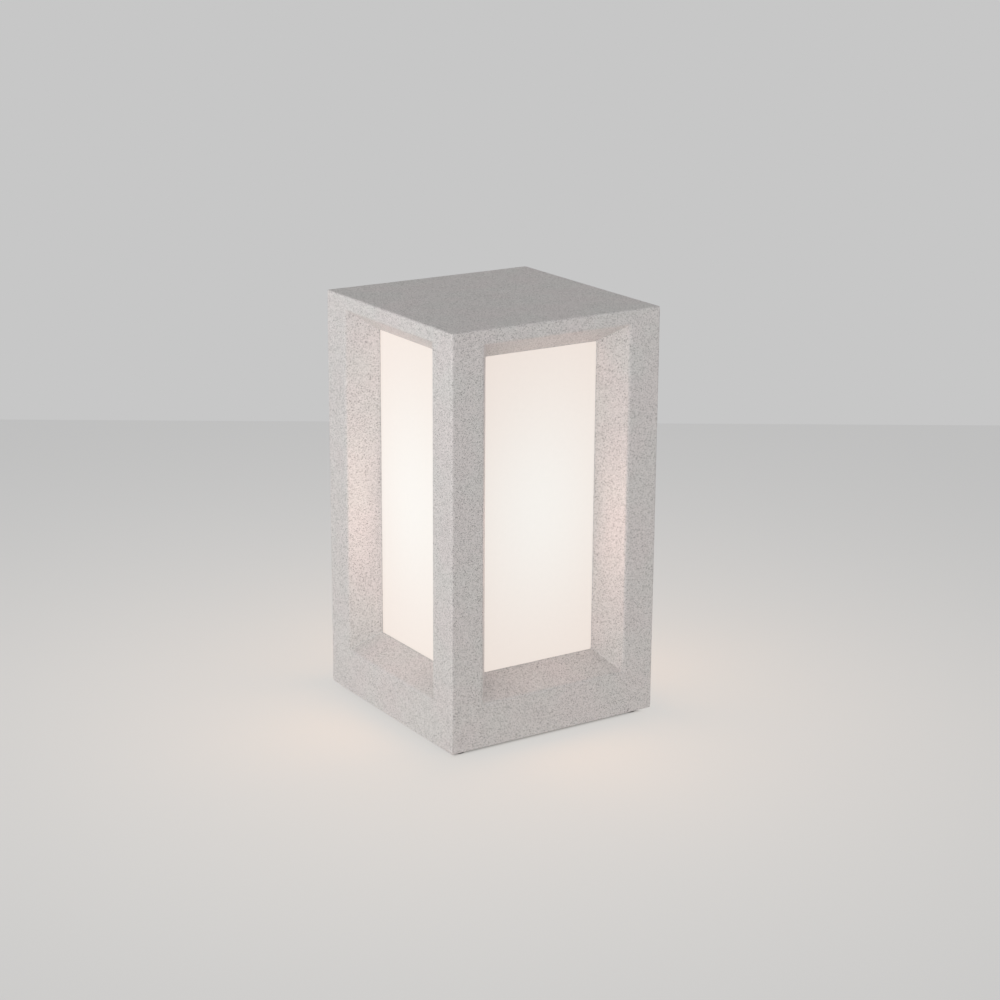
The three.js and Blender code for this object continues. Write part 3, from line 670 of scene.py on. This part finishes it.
def make_bulb(finish):
    """An LED globe bulb: rolled E27 cap, flared housing with a seam, and an opal dome."""
    low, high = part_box("bulb_cap")
    radius = radius_of("bulb_cap")
    start, end = low.z + 1.2 * MM, high.z - 2.5 * MM
    profile = [(0, low.z), (radius - 3.2 * MM, low.z)]
    profile += [(radius - 1.6 * MM, low.z + 0.5 * MM)]
    profile += [(radius, height) for height in levels(start, end, 0.3 * MM)]
    profile += [(radius - 0.3 * MM, end + 0.5 * MM), (radius - 0.3 * MM, high.z), (0, high.z)]
    cap = turned(profile, 96, threaded(start, end, E27_PITCH, 1.25 * MM, rounded=True))
    piece_of(cap, "bulb_screw_cap", "bulb", finish, "nickel_plate", "bulb_cap")

    low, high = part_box("bulb_housing")
    top = radius_of("bulb_housing")
    foot = 13.8 * MM
    profile = [(0, low.z), (foot - 0.4 * MM, low.z), (foot, low.z + 0.4 * MM)]
    for i in range(HOUSING_STEPS + 1):
        t = i / HOUSING_STEPS
        flare = foot + (top - foot) * math.sin(t * math.pi / 2) ** 1.3
        seam = 0.3 * MM if i in HOUSING_SEAMS else 0
        profile.append((flare - seam, low.z + 1 * MM + (high.z - low.z - 1.3 * MM) * t))
    profile += [(top - 0.4 * MM, high.z), (0, high.z)]
    piece_of(turned(profile, 96), "bulb_body", "bulb", finish, "bulb_plastic", "bulb_housing")

    low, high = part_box("bulb_globe")
    radius = radius_of("bulb_globe")
    centre = high.z - radius
    neck = top - 0.1 * MM
    outside = []
    for i in range(DOME_STEPS + 1):
        rise = math.sin(i / DOME_STEPS * math.pi / 2)
        outside.append((neck + (radius - neck) * rise, low.z + (centre - low.z) * i / DOME_STEPS))
    outside += arc(0, centre, radius, 3, 87, 28)
    inside = [(r - DOME_GLASS, z) for r, z in outside if z <= centre]
    inside += arc(0, centre, radius - DOME_GLASS, 3, 87, 28)
    wall = outside + [(0, high.z), (0, high.z - DOME_GLASS)] + inside[::-1]
    bm = turned(wall, 96, closed=True)
    piece_of(bm, "bulb_dome", "bulb", finish, "bulb_opal", "bulb_globe")

    low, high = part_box("bulb_led_board")
    radius = radius_of("bulb_led_board")
    bm = turned([(0, low.z), (radius, low.z), (radius, high.z), (0, high.z)])
    piece_of(bm, "bulb_lamp_board", "bulb", finish, "led_board_white", "bulb_led_board")

    low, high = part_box("bulb_contact")
    radius = radius_of("bulb_contact")
    dome = [(0, low.z), (radius * 0.45, low.z + 0.02 * MM), (radius * 0.8, low.z + 0.2 * MM)]
    dome += [(radius, high.z - 0.15 * MM), (radius, high.z), (0, high.z)]
    piece_of(turned(dome), "bulb_end_contact", "bulb_tip", finish, "brass", "bulb_contact")
    low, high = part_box("bulb_insulator")
    radius = radius_of("bulb_insulator")
    cone = [(0, low.z), (radius * 0.5, low.z), (radius * 0.62, low.z + 0.15 * MM)]
    cone += [(radius * 0.97, high.z - 0.3 * MM), (radius, high.z), (0, high.z)]
    piece_of(turned(cone, 64), "bulb_end_glass", "bulb_tip", finish, "black_glass", "bulb_insulator")


HOLDER_BORE = 15 * MM
HOLDER_FLOOR = 104 * MM
HOLDER_GROOVES = 3
HOLDER_WIRE_X = 8 * MM  # the wires' entries, either side of the middle
HOLDER_WIRE_Z = 93.5 * MM


def bore_tool(radius, length, place, turn=None):
    bm = turned([(0, 0), (radius, 0), (radius, length), (0, length)], 32)
    return moved(bm, place, turn)


def make_lampholder(finish):
    """A glazed porcelain holder with a rolled thread shell inside."""
    low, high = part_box("lampholder_body")
    radius = radius_of("lampholder_body")
    step = 2 * MM
    soft = 1.5 * MM
    profile = [(0, low.z), (radius - soft, low.z)]
    profile += arc(radius - soft, low.z + soft, soft, -90, 0, 6)[1:]
    profile += [(radius, HOLDER_FLOOR + 4 * MM)]
    profile += arc(radius - 1 * MM, HOLDER_FLOOR + 4 * MM, 1 * MM, 0, 80, 5)
    profile += [(radius - step, HOLDER_FLOOR + 6 * MM)]
    for ring in range(HOLDER_GROOVES):
        groove = HOLDER_FLOOR + (12 + 3 * ring) * MM
        profile += [(radius - step, groove), (radius - step - 0.5 * MM, groove + 0.7 * MM)]
        profile += [(radius - step, groove + 1.4 * MM)]
    profile += arc(radius - step - soft, high.z - soft, soft, 0, 90, 6)
    profile += [(HOLDER_BORE + 0.6 * MM, high.z), (HOLDER_BORE, high.z - 0.6 * MM)]
    profile += [(HOLDER_BORE, HOLDER_FLOOR), (0, HOLDER_FLOOR)]
    body = mesh_of(turned(profile, 96), "holder_blank")
    tools = bmesh.new()
    for number, side in ((1, -1), (2, 1)):
        screw = middle_of(f"lampholder_screw_{number}")
        wire = Vector((side * HOLDER_WIRE_X, -radius - 1 * MM, HOLDER_WIRE_Z))
        terminal = middle_of(f"lampholder_terminal_screw_{number}")
        holes = (
            bore_tool(1.8 * MM, HOLDER_FLOOR - low.z + 2 * MM, (screw.x, 0, low.z - 1 * MM)),
            bore_tool(1.7 * MM, radius - 11 * MM, wire, ALONG_Y),
            bore_tool(2.6 * MM, radius - 14 * MM, (terminal.x, -radius - 1 * MM, terminal.z), ALONG_Y),
        )
        for hole in holes:
            part = mesh_of(hole, "holder_hole")
            tools.from_mesh(part)
            bpy.data.meshes.remove(part)
    bm = bmesh.new()
    bm.from_mesh(cut_from(body, mesh_of(tools, "holder_holes")))
    piece_of(bm, "porcelain_holder", "base", finish, "porcelain", "lampholder_body")

    low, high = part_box("lampholder_thread_shell")
    outer = radius_of("lampholder_thread_shell")
    sheet = 0.45 * MM
    heights = levels(low.z, high.z, 0.35 * MM)
    thread = threaded(low.z, high.z, E27_PITCH, 0.55 * MM, rounded=True)
    sleeve = [(outer, z) for z in heights] + [(outer - sheet, z) for z in heights[::-1]]
    bm = turned(sleeve, 96, thread, closed=True)
    piece_of(bm, "threaded_sleeve", "base", finish, "nickel_plate", "lampholder_thread_shell")


NUT_ACROSS = 21 * MM  # across the flats of the gland's flange and nuts
NUT_BORE = 8.1 * MM
FLANGE_START = 12.1 * MM
FLANGE_LENGTH = 5 * MM
GLAND_BORE = 5.2 * MM
GLAND_SEAT = 7.5 * MM
GLAND_SEAT_DEPTH = 7 * MM
GLAND_PITCH = 1.5 * MM
COLLET = 8.5 * MM


def make_gland(finish):
    """The M16 gland: threaded body with a hexagon flange, domed nut with grip flats, locknut and seal."""
    across = NUT_ACROSS
    low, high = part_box("gland_body")
    middle = middle_of("gland_body")
    thread_radius = 7.8 * MM
    length = high.y - low.y
    start, end = FLANGE_START, FLANGE_START + FLANGE_LENGTH
    outside = [(thread_radius - 0.6 * MM, 0)]
    outside += [(thread_radius, z) for z in levels(0.6 * MM, start - 1.2 * MM, 0.25 * MM)]
    outside += [(thread_radius - 0.7 * MM, start), (across / 2 - 0.4 * MM, start)]
    outside += [(across / 2, start + 0.4 * MM), (across / 2, end - 0.4 * MM)]
    outside += [(across / 2 - 0.4 * MM, end), (COLLET, end)]
    outside += [(COLLET, z) for z in levels(end + 0.3 * MM, length - 3 * MM, 0.25 * MM)]
    outside += [(COLLET - 0.8 * MM, length)]
    seat_floor = length - GLAND_SEAT_DEPTH
    inside = [(GLAND_SEAT, length), (GLAND_SEAT, seat_floor), (GLAND_BORE, seat_floor), (GLAND_BORE, 0)]
    thread = threaded(0.6 * MM, start - 1.2 * MM, GLAND_PITCH, 0.7 * MM)
    upper = threaded(end + 0.3 * MM, length - 3 * MM, GLAND_PITCH, 0.6 * MM)

    def body_shape(reach, height, angle):
        if reach > COLLET + 0.5 * MM:
            return hexagonal(angle, across) - (across / 2 - reach)
        if reach > GLAND_SEAT + 0.1 * MM:
            return upper(reach, height, angle) if height > end else thread(reach, height, angle)
        return reach

    place = (middle.x, low.y, middle.z)
    bm = moved(turned(outside + inside, 96, body_shape, closed=True), place, ALONG_Y)
    piece_of(bm, "gland_barrel", "base", finish, "polyamide", "gland_body")

    low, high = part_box("gland_dome_nut")
    length = high.y - low.y
    mouth = 5.4 * MM
    room = COLLET + 0.3 * MM
    outside = [(across / 2 - 0.4 * MM, 0), (across / 2, 0.4 * MM), (across / 2, 7.5 * MM)]
    outside += [(across / 2 - 0.5 * MM, 8 * MM)]
    outside += arc(4.2 * MM, 8.2 * MM, 5.6 * MM, 8, 62, 8)
    outside += [(mouth + 0.6 * MM, length), (mouth, length - 0.4 * MM)]
    inside = [(mouth, 8.3 * MM), (room, 7.9 * MM), (room, 0)]

    def nut_shape(reach, height, angle):
        if reach > across / 2 - 0.45 * MM and height < 7.6 * MM:
            return hexagonal(angle, across) - (across / 2 - reach)
        return reach

    place = (middle.x, low.y, middle.z)
    bm = moved(turned(outside + inside, 96, nut_shape, closed=True), place, ALONG_Y)
    piece_of(bm, "gland_dome", "base", finish, "polyamide", "gland_dome_nut")

    low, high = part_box("gland_locknut")
    length = high.y - low.y
    bore = NUT_BORE
    profile = [(bore + 0.5 * MM, 0), (across / 2 - 0.5 * MM, 0), (across / 2, 0.5 * MM)]
    profile += [(across / 2, length - 0.5 * MM), (across / 2 - 0.5 * MM, length), (bore + 0.5 * MM, length)]
    profile += [(bore, length - 0.5 * MM), (bore, 0.5 * MM)]

    def lock_shape(reach, height, angle):
        if reach > bore + 0.6 * MM:
            return hexagonal(angle, across) - (across / 2 - reach)
        return reach

    bm = moved(turned(profile, 96, lock_shape, closed=True), (middle.x, low.y, middle.z), ALONG_Y)
    piece_of(bm, "gland_lock", "base", finish, "polyamide", "gland_locknut")

    for node, name, bore in (
        ("gland_seal", "gland_bush", 3.6 * MM), ("gland_washer", "gland_disc", NUT_BORE),
    ):
        low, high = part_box(node)
        length = high.y - low.y
        radius = radius_of(node)
        soft = min(0.4 * MM, length / 3)
        ring = arc(radius - soft, soft, soft, -90, 0, 4) + arc(radius - soft, length - soft, soft, 0, 90, 4)
        ring += arc(bore + soft, length - soft, soft, 90, 180, 4) + arc(bore + soft, soft, soft, 180, 270, 4)
        bm = moved(turned(ring, 64, closed=True), (middle.x, low.y, middle.z), ALONG_Y)
        piece_of(bm, name, "base", finish, "black_rubber", node)


# ---- wires ----
WIRE_RADIUS = 1.1 * MM
DECK_TOP = 34 * MM
BLOCK_REAR = -30 * MM
BLOCK_WIRE_Z = 40 * MM
BLOCK_PITCH = 12 * MM
WIRE_RISE_Y = -24 * MM
EARTH_X, EARTH_Y = 40 * MM, -40 * MM


def smooth_path(points, per_span=12):
    """A Catmull-Rom curve through points, as a list of points close together."""
    points = [Vector(p) for p in points]
    ends = [2 * points[0] - points[1]] + points + [2 * points[-1] - points[-2]]
    path = []
    for a, b, c, d in zip(ends, ends[1:], ends[2:], ends[3:]):
        for i in range(per_span):
            t = i / per_span
            bend = (2 * a - 5 * b + 4 * c - d) * t**2
            twist = (3 * b - a - 3 * c + d) * t**3
            path.append(0.5 * (2 * b + (c - a) * t + bend + twist))
    return path + [points[-1]]


def tube(path, radius, sides=16, second_material=None):
    """A closed tube along a path. second_material tests a side's number, and puts material 1 on that side."""
    bm = bmesh.new()
    rings = []
    across = Vector((1, 0, 0))
    for i, point in enumerate(path):
        along = (path[min(i + 1, len(path) - 1)] - path[max(i - 1, 0)]).normalized()
        across = (across - along * across.dot(along)).normalized()
        up = along.cross(across)
        angles = [2 * math.pi * k / sides for k in range(sides)]
        spokes = [(across * math.cos(a) + up * math.sin(a)) * radius for a in angles]
        rings.append([bm.verts.new(point + spoke) for spoke in spokes])
    for low, high in zip(rings, rings[1:]):
        for k in range(sides):
            face = bm.faces.new((low[k], low[(k + 1) % sides], high[(k + 1) % sides], high[k]))
            if second_material and second_material(k):
                face.material_index = 1
    bm.faces.new(rings[0][::-1])
    bm.faces.new(rings[-1])
    bmesh.ops.recalc_face_normals(bm, faces=bm.faces)
    return bm


def make_wires(finish):
    def to_holder(pole_x, holder_x):
        return [
            (pole_x, BLOCK_REAR - 3 * MM, BLOCK_WIRE_Z),
            (pole_x, BLOCK_REAR + 2.5 * MM, BLOCK_WIRE_Z + 0.6 * MM),
            (pole_x + (holder_x - pole_x) * 0.2, WIRE_RISE_Y, BLOCK_WIRE_Z + 10 * MM),
            (pole_x + (holder_x - pole_x) * 0.7, WIRE_RISE_Y, BLOCK_WIRE_Z + 34 * MM),
            (holder_x, WIRE_RISE_Y, HOLDER_WIRE_Z - 5 * MM),
            (holder_x, -21 * MM, HOLDER_WIRE_Z),
            (holder_x, -15 * MM, HOLDER_WIRE_Z),
        ]

    end = EARTH_Y + 12.3 * MM
    earth = [
        (BLOCK_PITCH, BLOCK_REAR - 3 * MM, BLOCK_WIRE_Z),
        (BLOCK_PITCH, BLOCK_REAR + 2.5 * MM, BLOCK_WIRE_Z + 0.6 * MM),
        (BLOCK_PITCH + 4 * MM, BLOCK_REAR + 6.5 * MM, BLOCK_WIRE_Z + 1.5 * MM),
        (EARTH_X - 14 * MM, BLOCK_REAR + 9 * MM, BLOCK_WIRE_Z + 1 * MM),
        (EARTH_X - 3 * MM, end + 7 * MM, DECK_TOP + 4.5 * MM),
        (EARTH_X, end + 3 * MM, DECK_TOP + 2.4 * MM),
        (EARTH_X, end, DECK_TOP + 2 * MM),
    ]
    for node, name, points, slot in (
        ("live_wire", "live_lead", to_holder(-BLOCK_PITCH, -HOLDER_WIRE_X), "wire_brown"),
        ("neutral_wire", "neutral_lead", to_holder(0, HOLDER_WIRE_X), "wire_blue"),
    ):
        piece_of(tube(smooth_path(points), WIRE_RADIUS), name, "base", finish, slot, node)
    bm = tube(smooth_path(earth), WIRE_RADIUS, second_material=lambda side: side % 8 < 3)
    piece = piece_of(bm, "earth_lead", "base", finish, "wire_green_yellow", "earth_wire")
    piece.data.materials.append(finish["yellow_stripe"])


# ---- what keeps its CAD shape ----
def soften(node, width):
    """Joins a CAD node's triangles at their corners, then rounds its edges a little."""
    weld = node.modifiers.new("weld", "WELD")
    weld.merge_threshold = 0.001 * MM
    bevel = node.modifiers.new("bevel", "BEVEL")
    bevel.width = width
    bevel.segments = 2
    bevel.limit_method = "ANGLE"
    bevel.angle_limit = math.radians(35)


def dress(name, material, width=0.2 * MM):
    node = NODES[name]
    node.data.materials.clear()
    node.data.materials.append(material)
    soften(node, width)


def make_finishes():
    """The finish of each material slot but the stone's and the panels', by the slot's name."""
    return {
        "silicone": surface("silicone", (0.70, 0.69, 0.66), 0.45, grain=260),
        "black_rubber": surface("black_rubber", (0.022, 0.022, 0.023), 0.75, grain=900, depth=0.05 * MM),
        "zinc_steel": surface("zinc_steel", (0.52, 0.54, 0.55), 0.38, 1.0, grain=420, shade=0.12),
        "stainless": surface("stainless", (0.6, 0.6, 0.59), 0.28, 1.0, grain=1500),
        "brass": surface("brass", (0.68, 0.50, 0.2), 0.3, 1.0, grain=1200),
        "nickel_plate": surface("nickel_plate", (0.66, 0.64, 0.6), 0.22, 1.0, grain=900),
        "porcelain": surface("porcelain", (0.82, 0.8, 0.75), 0.16, grain=200, Coat_Weight=0.6),
        "polyamide": surface("polyamide", (0.028, 0.029, 0.032), 0.5, grain=1400),
        "block_plastic": surface("block_plastic", (0.78, 0.76, 0.7), 0.45, grain=700),
        "bulb_plastic": surface("bulb_plastic", (0.86, 0.85, 0.83), 0.3, grain=500),
        "black_glass": surface("black_glass", (0.015, 0.015, 0.016), 0.08, grain=300),
        "led_board_white": surface("led_board_white", (0.78, 0.8, 0.76), 0.4, grain=800),
        "bulb_opal": surface(
            "bulb_opal", (0.9, 0.88, 0.84), 0.35, grain=300,
            Emission_Color=rgb(1.0, 0.86, 0.7), Emission_Strength=1.6,
        ),
        "wire_brown": surface("wire_brown", (0.13, 0.05, 0.025), 0.4, grain=900),
        "wire_blue": surface("wire_blue", (0.02, 0.11, 0.42), 0.4, grain=900),
        "wire_green_yellow": surface("wire_green_yellow", (0.16, 0.42, 0.04), 0.4, grain=900),
        "yellow_stripe": surface("yellow_stripe", (0.75, 0.55, 0.03), 0.4, grain=900),
    }


CAD_SHAPES = {
    "zinc_steel": ("base_tray", "lamp_bracket"),
    "black_rubber": ("base_gasket",),
    "stainless": (
        "bracket_screw_1", "bracket_screw_2", "lampholder_screw_1", "lampholder_screw_2",
        "terminal_block_screw",
    ),
    "brass": (
        "terminal_screw_1", "terminal_screw_2", "terminal_screw_3", "lampholder_terminal_screw_1",
        "lampholder_terminal_screw_2", "lampholder_centre_contact", "earth_lug", "earth_screw",
    ),
    "block_plastic": ("terminal_block",),
}


def dress_frame(finish):
    for side in SIDES:
        dress(f"opal_panel_{side}", opal_material(f"opal_acrylic_{side}", side), 0.6 * MM)
        dress(f"panel_seal_{side}", finish["silicone"], 0.8 * MM)
    for slot, names in CAD_SHAPES.items():
        for name in names:
            dress(name, finish[slot])


# ---- stage; lengths in metres ----
SKY = 0.571
FLOOR_REACH = 3.0
FLOOR_BEHIND = 0.94
FLOOR_COLOUR = (0.123, 0.123, 0.123)
# The floor's emission is an even glow, plus a painted pool of light round the lantern that fades with
# distance.
FLOOR_GLOW_FAR = (0.440, 0.440, 0.440)
FLOOR_PAINTED_POOL_NEAR = (0.582, 0.580, 0.570)
FLOOR_PAINTED_POOL_REACH = 0.70
FLOOR_PAINTED_POOL_CENTRE = (-0.097, -0.074, 0)
UNDER_SHADE = 0.12  # painted shadow: what is left of the floor's glow under the lantern
UNDER_START = HALF - 12.5 * MM
UNDER_END = HALF - 4.5 * MM


def make_floor():
    """A pale floor that ends behind the lantern, square to the camera, with the sky's grey beyond it. Its
    emission paints a pool of light round the lantern and a shadow under it.
    """
    bm = bmesh.new()
    forward = forward_of(CAMERA_YAW, 0)
    right = Vector((math.cos(CAMERA_YAW), -math.sin(CAMERA_YAW), 0))
    corners = [
        (-FLOOR_REACH, -FLOOR_REACH), (FLOOR_REACH, -FLOOR_REACH),
        (FLOOR_REACH, FLOOR_BEHIND), (-FLOOR_REACH, FLOOR_BEHIND),
    ]
    bm.faces.new([bm.verts.new(right * a + forward * b) for a, b in corners])
    floor = bpy.data.objects.new("floor", mesh_of(bm, "floor"))
    bpy.context.scene.collection.objects.link(floor)
    s = Shader("floor")
    shade = s.scaled(FLOOR_COLOUR, s.spread(s.noise(3, 2.0), 0.99, 1.01))
    # Painted pool of light: the floor's emission brightens towards a point beside the lantern and fades with
    # distance.
    away = s.node("VectorMath", {"operation": "DISTANCE"})
    s.put(away.inputs[0], s.place)
    s.put(away.inputs[1], FLOOR_PAINTED_POOL_CENTRE)
    reach = s.math("POWER", s.math("MULTIPLY", away.outputs["Value"], 1 / FLOOR_PAINTED_POOL_REACH), 2.0)
    near = s.math("EXPONENT", s.math("MULTIPLY", reach, -1.0))
    glow = s.mix(near, rgb(*FLOOR_GLOW_FAR), rgb(*FLOOR_PAINTED_POOL_NEAR))
    # Painted shadow under the lantern: the floor's emission falls to a small share inside the lantern's
    # footprint, with a soft edge just inside the stone's outline.
    parts = s.node("SeparateXYZ", Vector=s.place)
    sideways = s.math("ABSOLUTE", parts.outputs["X"])
    inwards = s.math("ABSOLUTE", parts.outputs["Y"])
    square = s.math("MAXIMUM", sideways, inwards)
    under = s.node("MapRange", {"interpolation_type": "SMOOTHSTEP"}, Value=square)
    under.inputs["From Min"].default_value = UNDER_START
    under.inputs["From Max"].default_value = UNDER_END
    under.inputs["To Min"].default_value = UNDER_SHADE
    floor.data.materials.append(s.finish(
        Base_Color=shade, Roughness=0.6, Specular_IOR_Level=0.0,
        Emission_Color=s.scaled(glow, under.outputs["Result"]),
        Emission_Strength=1.0,
    ))
    return floor


SIDE_LIGHTS = (
    # name, azimuth from the front face, elevation, width of its disc in degrees, strength
    ("light_left", -74, 3, 24, 0.90),
    ("light_left_rear", -98, 3, 24, 0.77),
    ("light_front_left", -40, 3, 24, 0.30),
    ("light_front", -10, 3, 24, 0.13),
    ("light_front_right", 20, 3, 24, 0.30),
)
PANEL_TINT = (1.0, 0.69, 0.59)
POOL_TINT = (1.0, 0.45, 0.09)
SMALL_LIGHT_DROP = 17 * MM  # how far the small panel lights lie under the bulb's middle
PANEL_LIGHTS = (
    # name, millimetres in front of the cavity wall, share of the panel's height, colour, watts, spread in
    # degrees, and whether it lights the floor only, without shadows. No two lie in one plane.
    ("whole", 1.0, 1.0, PANEL_TINT, 0.061, 180, False),
    ("middle", 1.4, 0.4, PANEL_TINT, 0.039, 180, False),
    ("forward", 1.8, 0.4, PANEL_TINT, 0.06, 168, False),
    ("pool", 2.2, 1.0, POOL_TINT, 0.75, 180, True),
)


def area_light(name, width, height, watts, colour, place, towards):
    data = bpy.data.lights.new(name, "AREA")
    data.shape = "RECTANGLE"
    data.size = width
    data.size_y = height
    data.energy = watts
    data.color = colour
    light = bpy.data.objects.new(name, data)
    bpy.context.scene.collection.objects.link(light)
    light.matrix_world = Matrix.Translation(place) @ towards.to_track_quat("-Z", "Y").to_matrix().to_4x4()
    light.visible_camera = False
    return light


def make_lights(floor):
    floor_only = bpy.data.collections.new("floor_only")
    floor_only.objects.link(floor)
    world = bpy.data.worlds.new("studio")
    world.use_nodes = True
    world.node_tree.nodes["Background"].inputs["Color"].default_value = rgb(SKY, SKY, SKY)
    bpy.context.scene.world = world
    for name, azimuth, elevation, disc, strength in SIDE_LIGHTS:
        a, e = math.radians(azimuth), math.radians(elevation)
        back = Vector((math.sin(a) * math.cos(e), -math.cos(a) * math.cos(e), math.sin(e)))
        data = bpy.data.lights.new(name, "SUN")
        data.energy = strength
        data.angle = math.radians(disc)
        light = bpy.data.objects.new(name, data)
        bpy.context.scene.collection.objects.link(light)
        light.matrix_world = (-back).to_track_quat("-Z", "Y").to_matrix().to_4x4()
    width = 2 * OPENING_HALF
    height = TOP - HEAD - BASE - SILL - 2 * BEVEL
    for index, side in enumerate(SIDES):
        low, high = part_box(f"opal_panel_{side}")
        out = Matrix.Rotation(index * math.pi / 2, 3, "Z") @ Vector((0, -1, 0))
        for name, ahead, share, colour, watts, spread, pool in PANEL_LIGHTS:
            level = BULB_MIDDLE_Z - SMALL_LIGHT_DROP if share < 1 else (low.z + high.z) / 2
            place = Vector((0, 0, level)) + out * (CAVITY + ahead * MM)
            light = area_light(
                f"light_panel_{name}_{side}", width * share ** 0.5, height * share, watts, colour, place, out
            )
            light.data.spread = math.radians(spread)
            light.parent = BODIES["shell"]
            if pool:
                light.data.use_shadow = False
                light.light_linking.receiver_collection = floor_only


make_camera()
bpy.context.scene.view_settings.view_transform = "Standard"
make_lights(make_floor())
finishes = make_finishes()
dress_frame(finishes)
make_stone()
for make in (
    make_feet, make_base_screws, make_inserts, make_bulb, make_lampholder, make_gland, make_wires,
):
    make(finishes)
